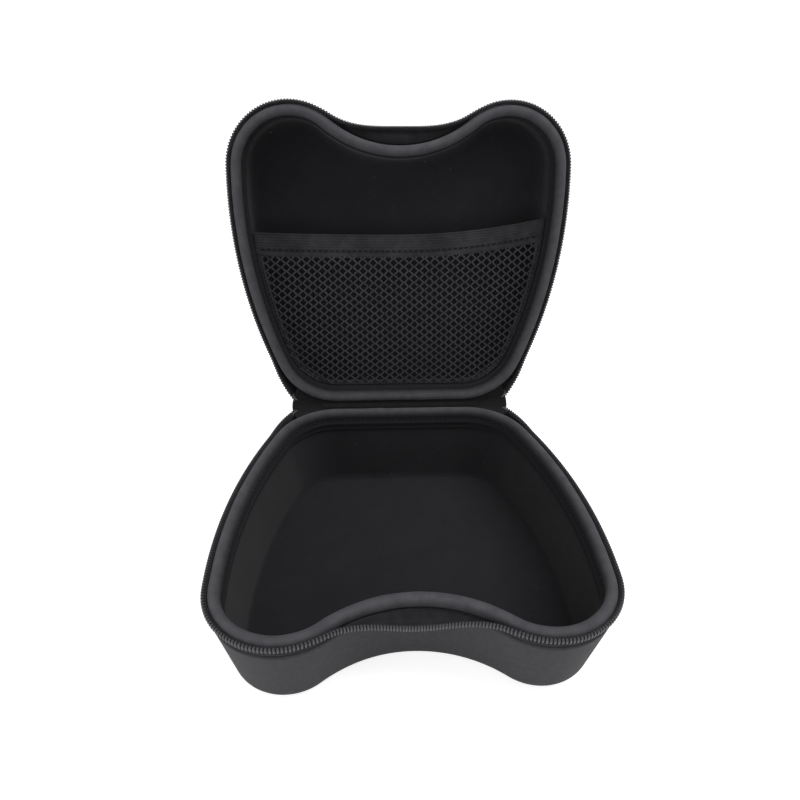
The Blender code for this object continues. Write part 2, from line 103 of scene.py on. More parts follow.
def half_outline():
    """The four arcs as (length, centre, radius, start angle, end angle, outward sign)."""
    lobe = np.array([lobe_half_width - lobe_radius, outline_depth - lobe_radius])
    corner = np.array([back_straight_half, corner_radius])
    rise = lobe_radius - dip_depth
    dip_radius = (lobe[0] ** 2 + rise ** 2 - lobe_radius ** 2) / (2 * dip_depth)
    dip = np.array([0.0, outline_depth - dip_depth + dip_radius])
    bow = bow_centre(lobe, lobe_radius, corner, corner_radius, side_bow_radius)
    into_lobe = math.atan2(*(dip - lobe)[::-1])
    into_side = math.atan2(*(lobe - bow)[::-1])
    into_corner = math.atan2(*(corner - bow)[::-1])
    down = -math.pi / 2
    arcs = [(dip, dip_radius, down, into_lobe - math.pi, -1.0),
            (lobe, lobe_radius, into_lobe, into_side, 1.0),
            (bow, side_bow_radius, into_side, into_corner, 1.0),
            (corner, corner_radius, into_corner, down, 1.0)]
    return [(abs(end - start) * radius, centre, radius, start, end, sign)
            for centre, radius, start, end, sign in arcs]


arcs = half_outline()
half_length = sum(piece[0] for piece in arcs) + back_straight_half


def outline(distance):
    """Point and outward normal at a distance from the middle of the dip, negative on the left.
    On an arc the point is centre + radius * (cos, sin) of an angle that grows evenly with distance."""
    left = np.abs(distance)
    side = np.where(np.asarray(distance) < 0, -1.0, 1.0)
    straight = np.clip(half_length - left, 0.0, back_straight_half)
    point = np.stack([straight, np.zeros_like(left)], -1)
    normal = np.stack([np.zeros_like(left), -np.ones_like(left)], -1)
    start = 0.0
    for length, centre, radius, first, last, sign in arcs:
        on = (left >= start) & (left < start + length)
        angle = first + (last - first) * (left - start) / length
        ray = np.stack([np.cos(angle), np.sin(angle)], -1)
        point = np.where(on[..., None], centre + radius * ray, point)
        normal = np.where(on[..., None], ray * sign, normal)
        start += length
    mirror = np.stack([side, np.ones_like(side)], -1)
    return point * mirror, normal * mirror


print("once round the edge:", round(2 * half_length / MM, 1), "mm")


# %% From the outline to the room
def to_room(plan, depth, half):
    """World points of plan points and their depth below the plane of the rims. The lid's are turned
    about the hinge axis by the open angle a: y' = y cos a + z sin a and z' = z cos a - y sin a."""
    turn = open_angle if half == LID else 0.0
    back, up = -(hinge_gap / 2 + plan[..., 1]), depth * half
    y = back * math.cos(turn) + up * math.sin(turn)
    z = up * math.cos(turn) - back * math.sin(turn)
    return np.stack([plan[..., 0], hinge_y + y, base_height + z], -1)


def place(distance, offset, depth, half):
    """World points: the outline's point + offset * its outward normal, lowered by depth."""
    distance, offset, depth = np.broadcast_arrays(distance, offset, depth)
    point, normal = outline(distance)
    return to_room(point + normal * offset[..., None], depth, half)


def skin_at(depth, draft, inset=0.0):
    """Offset of the wall at a depth: it leans in by tan(draft), and an inset counts square to it."""
    return skin_proud - (depth - shell_rim) * math.tan(draft) - inset / math.cos(draft)


def soft(distance, waves, seed):
    """Slow unevenness between -1 and 1 that closes round the edge: a mean of sines with whole wave counts."""
    phases = np.random.default_rng(seed).uniform(0, 2 * math.pi, len(waves))
    turn = distance * math.pi / half_length
    return sum(np.sin(turn * wave + phase) for wave, phase in zip(waves, phases)) / len(waves)


# %% [markdown]
# ## One helper makes every mesh
# A surface is a grid of points. Wrapping the grid in one direction gives a tube, and closing the
# two ends of the other gives a solid. The same helper writes a UV map in metres, so that threads
# and ribs in the materials can be given in millimetres and follow the cloth round the outline.

# %% Lines, rings and grids
def unit(vectors):
    """Vectors brought to length 1."""
    return vectors / np.linalg.norm(vectors, axis=-1, keepdims=True)


def run_length(line):
    """Distance along a line of points to each of them: the running sum of the steps between them."""
    return np.concatenate([[0.0], np.cumsum(np.linalg.norm(np.diff(line, axis=0), axis=1))])


def quadratic(first, pull, last, t):
    """Curve drawn towards pull: (1 - t) ** 2 of first + 2 t (1 - t) of pull + t ** 2 of last."""
    return (1 - t) ** 2 * first + 2 * t * (1 - t) * pull + t ** 2 * last


def rings_round(spine, side, up, radius, sides):
    """Ring of points round every point of a spine: the point + radius * (side cos a + up sin a)."""
    angle = 2 * math.pi * np.arange(sides)[:, None] / sides
    turned = np.cos(angle) * side[..., None, :] + np.sin(angle) * up[..., None, :]
    return spine[..., None, :] + radius * turned


def ring_quads(first, sides):
    """Quads from each ring to the one after it; first holds the number of each ring's first point."""
    low, here = first.reshape(-1, 1), np.arange(sides)
    ahead = (here + 1) % sides
    return np.stack([low + here, low + ahead, low + sides + ahead, low + sides + here], -1).reshape(-1, 4)


def uv_grid(columns, rows):
    """UV pairs of a grid, from the places of its columns and of its rows."""
    return np.stack(np.meshgrid(columns, rows), -1)


# %% Mesh helpers
def put(name, data):
    """New object in the scene for a mesh, a lamp or a camera."""
    made = bpy.data.objects.new(name, data)
    bpy.context.scene.collection.objects.link(made)
    return made


def build(name, points, faces, loop_uv):
    """Mesh object from points, arrays of faces with one array for each number of corners, and a UV
    pair for every corner of every face."""
    loops = np.concatenate([face.ravel() for face in faces])
    sizes = np.concatenate([np.full(len(face), face.shape[1]) for face in faces])
    mesh = bpy.data.meshes.new(name)
    mesh.vertices.add(len(points))
    mesh.vertices.foreach_set("co", points.astype(np.float32).ravel())
    mesh.loops.add(len(loops))
    mesh.loops.foreach_set("vertex_index", loops.astype(np.int32))
    mesh.polygons.add(len(sizes))
    mesh.polygons.foreach_set("loop_start", np.concatenate([[0], np.cumsum(sizes)[:-1]]).astype(np.int32))
    mesh.update(calc_edges=True)
    mesh.uv_layers.new(name="cloth").data.foreach_set("uv", loop_uv.astype(np.float32).ravel())
    mesh.shade_smooth()
    return put(name, mesh)


def outward(piece):
    """Turn a closed mesh's faces outwards: then its volume, a sum of corner products, is positive."""
    mesh = piece.data
    mesh.calc_loop_triangles()
    points = np.empty(len(mesh.vertices) * 3)
    mesh.vertices.foreach_get("co", points)
    corners = np.empty(len(mesh.loop_triangles) * 3, np.int32)
    mesh.loop_triangles.foreach_get("vertices", corners)
    a, b, c = points.reshape(-1, 3)[corners.reshape(-1, 3)].transpose(1, 0, 2)
    if np.einsum("ij,ij->i", a, np.cross(b, c)).sum() < 0:
        mesh.flip_normals()
    return piece


def surface(name, points, uv, solid=False, wrap_rows=False, flat_rows=()):
    """Mesh object from a grid of points, rows by columns. A solid's columns wrap, and its first and last
    rows are closed unless the rows wrap too; uv has one row or column more where the grid wraps. Rows
    in flat_rows take their UV from the points' own x and the longer of y and z."""
    rows, columns = points.shape[:2]
    i, j = np.meshgrid(np.arange(rows if wrap_rows else rows - 1),
                       np.arange(columns if solid else columns - 1), indexing="ij")
    i, j = i.ravel(), j.ravel()
    corner_rows = np.stack([i, i + 1, i + 1, i], -1)
    corner_columns = np.stack([j, j, j + 1, j + 1], -1)
    quads = (corner_rows % rows) * columns + corner_columns % columns
    flat = points.reshape(-1, 3)
    quad_uv = uv[corner_rows, corner_columns]
    second = 1 if np.ptp(flat[:, 1]) > np.ptp(flat[:, 2]) else 2
    if len(flat_rows):
        flat_uv = flat[quads][..., [0, second]]
        quad_uv = np.where(np.isin(i, flat_rows)[:, None, None], flat_uv, quad_uv)
    faces, loop_uv = [quads], [quad_uv.reshape(-1, 2)]
    if solid and not wrap_rows:
        rings = np.stack([np.arange(columns), (rows - 1) * columns + np.arange(columns)[::-1]])
        faces.append(rings)
        loop_uv.append(flat[rings.ravel()][:, [0, second]])
    piece = build(name, flat, faces, np.concatenate(loop_uv))
    return outward(piece) if solid else piece


def finish(piece, body, finish_of, nodes=()):
    """Give a piece its material and its body unless it belongs to two, and hide the plain solids that
    it stands for."""
    piece.data.materials.append(finish_of)
    if body:
        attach(piece, body)
    if nodes:
        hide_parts(*nodes)
    piece.data.calc_loop_triangles()
    print(piece.name, len(piece.data.loop_triangles), "triangles")
    return piece


# %% [markdown]
# Seams hold the bound edge, the pocket's band and its hem. A line in the bump would do from afar, but
# near to, the thread stands up and dips between its holes, so every stitch is a small rod.

# %% Stitches
edge_stitch = (3.0 * MM, 2.1 * MM, 0.25 * MM)     # pitch, length and thread of each seam's stitches
band_stitch = (3.2 * MM, 2.0 * MM, 0.36 * MM)
hem_stitch = (2.6 * MM, 1.7 * MM, 0.22 * MM)


def stitches(name, line, out, pitch, length, thread):
    """Row of stitches along a line of world points. Each is a short rod of five rings whose radius
    shrinks at its ends, and it stands out by a quarter of its thread in the middle."""
    steps, out = run_length(line), np.broadcast_to(out, line.shape)
    middles = np.arange(pitch, steps[-1] - pitch, pitch)
    share = np.array([-1.0, -0.8, 0.0, 0.8, 1.0])
    radius = thread * np.array([0.35, 0.85, 1.0, 0.85, 0.35])
    at = middles[:, None] + share * length / 2
    spine, up = (np.stack([np.interp(at, steps, values[:, k]) for k in range(3)], -1)
                 for values in (line, out))
    up = unit(up)
    side = np.cross(unit(np.gradient(spine, axis=1)), up)
    spine = spine + up * (thread / 4 * (1 - share ** 2))[:, None]
    rings, sides = len(share), 6
    points = rings_round(spine, side, up, radius[:, None, None], sides)
    first = rings * sides * np.arange(len(middles))[:, None]
    quads = ring_quads(first + sides * np.arange(rings - 1), sides)
    ends = np.concatenate([first + np.arange(sides)[::-1], first + (rings - 1) * sides + np.arange(sides)])
    return outward(build(name, points.reshape(-1, 3), [quads, ends], np.zeros((quads.size + ends.size, 2))))


# %% [markdown]
# ## Materials
# Nearly all of the case is black or charcoal cloth, and the kinds differ in how they catch light.
# The outside is a smooth polyester stuck on foam, the lining a brushed tricot that swallows light,
# the binding a soft knit and the zip a woven tape with shiny nylon. Each gets its own colour,
# roughness, sheen and thread pattern.

# %% Colour and node helpers
def linear(code):
    """Linear colour of an sRGB hex value: c / 12.92 below 0.04045, else ((c + 0.055) / 1.055) ** 2.4."""
    values = [int(code[i:i + 2], 16) / 255 for i in (1, 3, 5)]
    return [v / 12.92 if v <= 0.04045 else ((v + 0.055) / 1.055) ** 2.4 for v in values] + [1.0]


def fill(tree, made, inputs):
    """Fill a node's inputs with plain values or with links from other sockets."""
    for name, value in inputs.items():
        if isinstance(value, bpy.types.NodeSocket):
            tree.links.new(value, made.inputs[name])
        else:
            made.inputs[name].default_value = value


def node(tree, kind, inputs=None, output=0, **settings):
    """Add a shader node, set its settings, fill its inputs and give back one of its outputs."""
    made = tree.nodes.new(kind)
    for name, value in settings.items():
        setattr(made, name, value)
    fill(tree, made, inputs or {})
    return made.outputs[output]


def material(name, **values):
    """New material with its principled shader's plain values set; returns material, tree and shader."""
    made = bpy.data.materials.new(name)
    made.use_nodes = True
    shader = made.node_tree.nodes["Principled BSDF"]
    fill(made.node_tree, shader, {label.replace("_", " "): value for label, value in values.items()})
    return made, made.node_tree, shader


def cloth_place(tree, axis):
    """Place on a piece's own cloth in metres: X runs along it and Y across it."""
    uv = node(tree, "ShaderNodeUVMap", uv_map="cloth")
    return node(tree, "ShaderNodeSeparateXYZ", {"Vector": uv}, axis)


def threads(tree, pitches):
    """Height between 0 and 1 of crossing threads: the mean of two cosine waves, one for each direction."""
    waves = []
    for axis, pitch in zip("XY", pitches):
        turn = node(tree, "ShaderNodeMath", {0: cloth_place(tree, axis), 1: 2 * math.pi / pitch},
                    operation="MULTIPLY")
        waves.append(node(tree, "ShaderNodeMath", {0: turn}, operation="COSINE"))
    total = node(tree, "ShaderNodeMath", {0: waves[0], 1: waves[1]}, operation="ADD")
    return node(tree, "ShaderNodeMapRange", {"Value": total, "From Min": -2.0, "From Max": 2.0})


def speckle(tree, size, detail=3.0, roughness=0.6):
    """Noise in the piece's own space whose spots are about as large as size, between 0 and 1."""
    space = node(tree, "ShaderNodeTexCoord", output="Object")
    return node(tree, "ShaderNodeTexNoise", {"Vector": space, "Scale": 1 / size, "Detail": detail,
                                             "Roughness": roughness}, "Fac")


def mixed(tree, share, first, second):
    """Colour between two by a share between 0 and 1; each is an sRGB hex value or another socket."""
    first, second = (linear(colour) if isinstance(colour, str) else colour for colour in (first, second))
    return node(tree, "ShaderNodeMix", {"Factor": share, "A": first, "B": second}, "Result", data_type="RGBA")


# %% [markdown]
# The outer cloth is plain-woven polyester drawn tight over foam when the cup is moulded. Heat and
# pressure flatten the threads, so it looks smooth and matte with a faint sheen. Threads lie about
# 0.35 mm apart, which is less than a pixel here, so they are drawn at 0.7 mm and very shallow. The
# threads of the other cloths are drawn about twice too coarse for the same reason.
# The binding is a knit of textured yarn, soft and light. Its colour is darkened from the roll's crest
# over its inner side to the hollow, the ridge and the skirt: painted shade. Tape and hinge cloth are
# plain-woven and nearly black. In the elastic, covered rubber threads show as ribs. The net is
# twisted yarn, a little lighter than the lining behind it, and the sewing thread is waxed, smooth and
# the darkest. They differ in colours, pitches, depth and sheen alone, so one function makes them all.

# %% Cloths
def cloth(name, dark, light, pitches, depth, roughness, sheen, fuzz=0.0, mottle=6 * MM, painted_shade=None):
    """Woven or knitted cloth: a thread pattern in the bump and the colour, over slow mottling. With
    painted_shade = (first, last, colour) the cloth darkens to that colour between two places across
    it, as painted shade."""
    made, tree, shader = material(name, Roughness=roughness, Sheen_Weight=sheen, Sheen_Roughness=0.5,
                                  Specular_IOR_Level=0.15)
    height = threads(tree, pitches)
    slow = speckle(tree, mottle)
    both = node(tree, "ShaderNodeMath", {0: height, 1: 0.35, 2: slow}, operation="MULTIPLY_ADD")
    share = node(tree, "ShaderNodeMapRange", {"Value": both, "From Min": 0.35, "From Max": 0.95})
    colour = mixed(tree, share, dark, light)
    # painted shade: across the cloth, from first to last, the colour darkens to the shade colour
    if painted_shade:
        first, last, shade = painted_shade
        across = cloth_place(tree, "Y")
        fade = node(tree, "ShaderNodeMapRange", {"Value": across, "From Min": first, "From Max": last},
                    interpolation_type="SMOOTHSTEP")
        colour = mixed(tree, fade, colour, shade)
    if fuzz:
        fibres = speckle(tree, 0.35 * MM, 4.0, 0.75)
        height = node(tree, "ShaderNodeMath", {0: fibres, 1: fuzz, 2: height}, operation="MULTIPLY_ADD")
    bump = node(tree, "ShaderNodeBump", {"Strength": 0.6, "Distance": depth, "Height": height})
    fill(tree, shader, {"Base Color": colour, "Normal": bump})
    return made


outer_polyester = cloth("outer_polyester_cloth", "#454548", "#525255", (0.7 * MM, 0.7 * MM), 0.08 * MM,
                        0.75, 0.05, 1.4, 3 * MM)
# painted shade: the binding darkens from 5 to 15 mm along its section, over the roll's crest and inner side,
# and stays dark on the hollow, ridge and skirt
knit_binding = cloth("knit_binding_cloth", "#4f4f54", "#656569", (0.8 * MM, 1.1 * MM), 0.12 * MM,
                     0.85, 0.08, 1.2, painted_shade=(5 * MM, 15 * MM, "#242427"))
zip_tape = cloth("woven_zip_tape", "#242426", "#363639", (0.8 * MM, 0.8 * MM), 0.12 * MM, 0.8, 0.1)
hinge_cloth = cloth("hinge_cloth", "#161618", "#212123", (0.8 * MM, 1.1 * MM), 0.12 * MM, 0.85, 0.1, 1.2)
elastic_band = cloth("elastic_band_cloth", "#2b2b2d", "#434346", (40 * MM, 1.6 * MM), 0.15 * MM,
                     0.85, 0.2, 0.6)
net_thread = cloth("polyester_net_thread", "#36363a", "#4e4e53", (0.6 * MM, 0.6 * MM), 0.08 * MM, 0.7, 0.2)
end_tab_cloth = cloth("zip_end_tab_cloth", "#55555a", "#6c6c71", (0.8 * MM, 0.8 * MM), 0.1 * MM, 0.8, 0.2)
sewing_thread = cloth("sewing_thread", "#0e0e10", "#1a1a1c", (0.4 * MM, 0.4 * MM), 0.05 * MM, 0.6, 0.0)

# %% [markdown]
# The lining is brushed tricot, a warp knit whose loops are raised into a short nap. It is almost
# black seen straight on and a little greyer at a shallow angle. A few white specks of lint sit on it,
# as they do on the real case. They come from a noise that is cut off high, so only its peaks show.

# %% Lining
def tricot():
    """Near-black nap with fine ribs, and rare pale lint where a fine noise passes its threshold."""
    made, tree, shader = material("brushed_tricot_lining", Roughness=0.95, Sheen_Weight=0.14,
                                  Sheen_Roughness=0.6, Specular_IOR_Level=0.1)
    ribs, nap = threads(tree, (0.9 * MM, 1.4 * MM)), speckle(tree, 0.5 * MM, 4.0, 0.8)
    slow = speckle(tree, 14 * MM)
    share = node(tree, "ShaderNodeMath", {0: slow, 1: 0.6, 2: 0.1}, operation="MULTIPLY_ADD")
    ground = mixed(tree, share, "#1e1e21", "#303034")
    lint = speckle(tree, 1.1 * MM, 1.0, 0.4)
    shown = node(tree, "ShaderNodeMapRange", {"Value": lint, "From Min": 0.80, "From Max": 0.83})
    height = node(tree, "ShaderNodeMath", {0: nap, 1: 1.5, 2: ribs}, operation="MULTIPLY_ADD")
    bump = node(tree, "ShaderNodeBump", {"Strength": 0.5, "Distance": 0.15 * MM, "Height": height})
    fill(tree, shader, {"Base Color": mixed(tree, shown, ground, "#77777a"), "Normal": bump})
    return made


tricot_lining = tricot()

# %% [markdown]
# The coil is drawn nylon wire, smooth with a broad highlight, and each turn catches the light as a
# bright dash. The slider and its pull are cast zinc with a thin black coating, satin rather than
# mirror-bright, with the grain of the casting just visible.

# %% Nylon and coated zinc
def hard(name, colour, spots, gloss, grain=0.0, **values):
    """Hard finish whose roughness wanders between the two values of gloss, in spots of one size.
    Where there is a grain, the same spots stand up by that much."""
    made, tree, shader = material(name, Base_Color=linear(colour), **values)
    spotted = speckle(tree, spots)
    rough = node(tree, "ShaderNodeMapRange", {"Value": spotted, "To Min": gloss[0], "To Max": gloss[1]})
    fill(tree, shader, {"Roughness": rough})
    if grain:
        bump = node(tree, "ShaderNodeBump", {"Strength": 0.2, "Distance": grain, "Height": spotted})
        fill(tree, shader, {"Normal": bump})
    return made


nylon_coil = hard("drawn_nylon", "#4a4a4e", 2 * MM, (0.36, 0.5), IOR=1.53)
black_zinc = hard("black_coated_zinc", "#2a2a2b", 0.4 * MM, (0.3, 0.5), grain=0.03 * MM, Metallic=0.85)
print("materials:", len(bpy.data.materials))

# %% [markdown]
# ## The moulded cups and their linings
# A cup is one profile carried round the outline. It starts on the inside floor, runs up the inner
# wall, over the rim and down the outer wall to the underside. On the floor the rings are shrunk
# copies of the edge, and one flat face closes the smallest.

# %% Cup profile and cup
ring_count, profile_steps = 384, 12
ring_uv = -half_length + 2 * half_length * np.arange(ring_count + 1) / ring_count
ring = ring_uv[:-1]
floor_shares = np.array([0.6, 0.8, 0.93])
floor_centre = 70.0 * MM
cup_bulge, bulge_fade = 0.15 * MM, 10 * MM


def wall_line(height, draft, edge_radius, inset):
    """Offsets and depths down the wall and round a quarter turn into the floor."""
    radius = max(edge_radius - inset, lining_thickness + fit_gap)
    turn = height - inset - radius
    centre = skin_at(turn, draft, inset) - radius / math.cos(draft)
    down = np.linspace(shell_rim, turn, profile_steps)[:-1]
    angle = np.linspace(draft, math.pi / 2, profile_steps)
    offset = np.concatenate([skin_at(down, draft, inset), centre + radius * np.cos(angle)])
    depth = np.concatenate([down, turn + radius * np.sin(angle)])
    return offset, depth


def cup_face(height, draft, edge_radius, inset, half):
    """Points of one face of the cup from the rim to the floor: wall rings, then shrunk rings. A slow
    unevenness is added square to the wall and fades out at the rim."""
    offset, depth = wall_line(height, draft, edge_radius, inset)
    fade = np.clip((depth - shell_rim) / bulge_fade, 0, 1)[:, None]
    uneven = cup_bulge * fade * soft(ring, (3, 5, 8, 13), 4)
    points, normal = outline(ring)
    plan = points + normal * (offset[:, None] + uneven)[..., None]
    middle = np.array([0.0, floor_centre])
    floor = middle + (plan[-1] - middle) * floor_shares[::-1, None, None]
    level = np.concatenate([depth, np.full(len(floor_shares), depth[-1])])
    return to_room(np.concatenate([plan, floor]), level[:, None], half)


def cup(name, height, draft, edge_radius, inset, thickness, half):
    """Closed cup: the inner face from its floor up to the rim, then the outer face down to its floor."""
    inner, outer = (cup_face(height, draft, edge_radius, face, half) for face in (inset + thickness, inset))
    points = np.concatenate([inner[::-1], outer])
    floor, last = len(floor_shares), len(points) - 1
    return surface(name, points, uv_grid(ring_uv, run_length(points[:, 0])), solid=True,
                   flat_rows=[*range(floor), *range(last - floor, last)])


lining_inset = wall_thickness + fit_gap
for word, half, height, draft, radius in (("base", BASE, base_height, base_draft, base_edge_radius),
                                          ("lid", LID, lid_height, lid_draft, lid_edge_radius)):
    shell = cup(word + "_moulded_cup", height, draft, radius, 0.0, wall_thickness, half)
    finish(shell, word, outer_polyester, [word + "_shell"])
    lining = cup(word + "_tricot_lining", height, draft, radius, lining_inset, lining_thickness, half)
    finish(lining, word, tricot_lining, [word + "_lining"])

# %% [markdown]
# ## The bound edge
# A strip of knit cloth is folded round a soft cord on the rim and sewn down over the lining, so the
# section shows a round roll, a hollow under it, a thin ridge at the seam and a flat skirt. The
# section is a smooth closed curve through a few points, and it swells and shrinks slightly on its
# way round, as a hand-guided seam does.

# %% Bound edge
def smooth_loop(corners, count):
    """Closed Catmull-Rom curve through the corners: on each stretch the cubic whose end slopes are
    half the difference of the neighbours."""
    t = np.arange(count) * len(corners) / count
    k = t.astype(int)
    f = (t - k)[:, None]
    before, here, after, beyond = (corners[(k + step) % len(corners)] for step in (-1, 0, 1, 2))
    return 0.5 * (2 * here + (after - before) * f + (2 * before - 5 * here + 4 * after - beyond) * f ** 2
                  + (3 * here - before - 3 * after + beyond) * f ** 3)


lined_wall = lining_inset + lining_thickness


def binding_section(draft):
    """Closed section of the bound edge in offset and depth, anticlockwise from the roll's outer foot."""
    face = skin_at(skirt_depth, draft, lined_wall) - fit_gap
    shape = [(-0.35, 5.6), (-0.02, 4.2), (-0.1, 2.4), (-0.9, 0.9), (-2.7, 0.2), (-4.5, 0.9), (-5.3, 2.4),
             (-5.35, 4.2), (-5.1, 5.7), (-5.35, 6.7), (-6.2, 7.5), (-6.55, 8.2), (-6.35, 9.0), (-6.1, 9.8),
             (-6.2, 10.8), (face / MM - 0.7, 11.7), (face / MM - 0.3, 12.0), (face / MM, 11.6),
             (face / MM + 0.45, 9.0), (-5.0, 7.6), (-4.6, 6.5), (-3.6, 6.12), (-1.4, 6.12)]
    return smooth_loop(np.array(shape) * MM, 60)


roll_middle = np.array([-2.7, 3.2]) * MM
roll_breath, lap_swell = 0.03, 0.07
roll_end, roll_fade = 6.5 * MM, 3 * MM
lap_at, lap_length = half_length - 10.0 * MM, 13.0 * MM
seam_offset, seam_depth = -5.3 * MM, 6.1 * MM


def binding(name, draft, half, seed):
    """The section carried round the outline; the roll breathes by 3% about its own middle, and is a
    little thicker where the binding's end laps over its start behind the hinge."""
    section = binding_section(draft)
    from_lap = lap_at - half * ring
    lap = np.where(from_lap < 0, 0.0, np.clip(1 - from_lap / lap_length, 0, 1))
    swell = roll_breath * soft(ring, (7, 12, 19, 31, 44), seed) + lap_swell * lap
    on_roll = np.clip((roll_end - section[:, 1]) / roll_fade, 0, 1)[:, None]
    offset, depth = roll_middle[:, None, None] + (section - roll_middle).T[..., None] * (1 + swell * on_roll)
    points = place(ring, offset, np.maximum(depth, fit_gap / 2), half)
    uv = uv_grid(ring_uv, run_length(np.concatenate([section, section[:1]])))
    return surface(name, points, uv, solid=True, wrap_rows=True)


for word, half, draft, seed in (("base", BASE, base_draft, 11), ("lid", LID, lid_draft, 12)):
    bound = binding(word + "_bound_edge", draft, half, seed)
    finish(bound, word, knit_binding, [word + "_binding"])
    around = np.linspace(-half_length, half_length, 700)
    seam = place(around, seam_offset, seam_depth, half)
    inwards = place(around, seam_offset - MM, seam_depth, half) - seam
    finish(stitches(word + "_binding_seam", seam, inwards, *edge_stitch), word, zip_tape)

# %% [markdown]
# ## The zip
# Each half carries one tape with a coil sewn on its outer face, heads outwards. In the dip nothing
# pulls the open zip straight, so there the tape lies out as a shelf with the coil upright at its
# end. The tape is a thin closed strip carried along the edge. The coil is a spiral of nylon wire
# round a cord: it advances one pitch a turn, and its section is a flattened loop with a broad head.

# %% Zip tape
zip_end = 60.0 * MM
flare_start, flare_reach = 88.0 * MM, 5.5 * MM
zip_reach = half_length - zip_end
tape_foot = shell_rim - 2 * fit_gap
tape_offset = skin_proud / 2
tape_top, fold_rise = 1.7 * MM, 1.0 * MM
tape_thickness = 0.55 * MM
collar_reach, collar_drop, collar_fold_drop, collar_half_length = 7.4 * MM, 5.7 * MM, 4.3 * MM, 50.0 * MM


def collar(distance):
    """How much of its shelf the zip has: a squared cosine over the dip, 0 beyond it."""
    return np.cos(math.pi / 2 * np.clip(distance / collar_half_length, -1, 1)) ** 2


def flare(distance):
    """How far the coil stands off the corner: a parabola from where it leaves the edge to its end."""
    left = half_length - np.abs(distance)
    return flare_reach * np.clip((flare_start - left) / (flare_start - zip_end), 0, 1) ** 2


def tape_curve(distance):
    """The tape's section as offset and depth: straight from the foot nearly to the fold, a quadratic
    curve round it, straight to the top; with the outer normal, the slope turned by a right angle."""
    share = collar(distance)
    outside = tape_offset + collar_reach * share + flare(distance)
    fold = np.stack([outside, tape_foot - fold_rise + collar_fold_drop * share], -1)
    top = np.stack([outside, tape_top + collar_drop * share], -1)
    foot = np.broadcast_to([tape_offset, tape_foot], fold.shape)
    before, after = fold + 0.35 * (foot - fold), fold + 0.35 * (top - fold)
    t = np.linspace(0, 1, 12)[:, None, None]
    line = np.concatenate([foot[None], quadratic(before, fold, after, t), top[None]])
    bend = (1 - t) * (fold - before) + t * (after - fold)
    slope = unit(np.concatenate([before[None] - foot, bend, top[None] - after]))
    return line, np.stack([-slope[..., 1], slope[..., 0]], -1)


def tape(name, half):
    """Closed strip: the outer face up to the top edge and the inner face back down."""
    distance = np.linspace(-zip_reach, zip_reach, 360)
    line, normal = tape_curve(distance)
    wall = normal * tape_thickness / 2
    loop = np.concatenate([line + wall, (line - wall)[::-1]])
    points = place(distance, loop[..., 0], loop[..., 1], half)
    uv = uv_grid(distance, np.arange(len(loop) + 1) * 0.8 * MM)
    return surface(name, points.transpose(1, 0, 2), uv.transpose(1, 0, 2), solid=True)


# %% Nylon coil
coil_pitch = 1.5 * MM             # a size 5 coil, 17 teeth to the inch
coil_width, coil_thickness, coil_wire, coil_lead = 3.2 * MM, 1.8 * MM, 0.37 * MM, 1.1 * MM


def coil_axis(distance):
    """Middle of the coil's section, the direction towards its heads and the direction out of the tape."""
    line, normal = tape_curve(distance)
    top, out = line[-1], normal[-1]
    heads = np.stack([out[:, 1], -out[:, 0]], -1)
    middle = top - heads * (coil_width / 2 - coil_lead) + out * (tape_thickness + coil_thickness) / 2
    return middle, heads, out


def tube(name, half, distance, centre, toward, wire, broad, sides=7):
    """Closed tube along points given by distance, offset and depth. Its section is a circle of the
    wire's radius, stretched by broad in the direction toward."""
    spine = place(distance, *centre.T, half)
    forward = unit(np.gradient(spine, axis=0))
    side = unit(np.cross(forward, toward))
    other = np.cross(side, forward) * np.broadcast_to(broad, len(distance))[:, None]
    uv = uv_grid(np.arange(sides + 1) * wire, distance)
    return surface(name, rings_round(spine, side, other, wire, sides), uv, solid=True)


def coil(name, half):
    """Wire along a flattened spiral: at turn t the place across is a cos 2 pi t and the rise is
    b sin 2 pi t. The outer leg lies square to the edge, so the distance grows by one pitch only in
    the second half of each turn, eased at both ends. At the head the wire is pressed broader."""
    turns, steps = int(2 * zip_reach / coil_pitch), 14
    t = np.arange(turns * steps + 1) / steps
    eased = np.clip((t % 1 - 0.45) / 0.55, 0, 1)
    distance = (np.floor(t) + eased ** 2 * (3 - 2 * eased) - turns / 2) * coil_pitch
    angle = 2 * math.pi * t
    middle, heads, out = coil_axis(distance)
    centre = (middle + heads * ((coil_width / 2 - coil_wire) * np.cos(angle))[:, None]
              + out * ((coil_thickness / 2 - coil_wire) * np.sin(angle))[:, None])
    toward = place(distance + MM, 0.0, 0.0, half) - place(distance - MM, 0.0, 0.0, half)
    broad = 1 + 0.6 * np.clip(np.cos(angle - 0.6), 0, 1) ** 3
    return tube(name, half, distance, centre, toward, coil_wire, broad)


def along_zip(name, half, first, last, shift, lower, wire, broad, count):
    """Tube that follows the coil, shifted out of the tape and lowered from the heads, and broad
    towards the coil's heads."""
    distance = np.linspace(first, last, count)
    middle, heads, out = coil_axis(distance)
    centre = middle + out * shift - heads * lower
    ahead = centre + heads * MM
    toward = place(distance, *ahead.T, half) - place(distance, *centre.T, half)
    return tube(name, half, distance, centre, toward, wire, broad, sides=12)


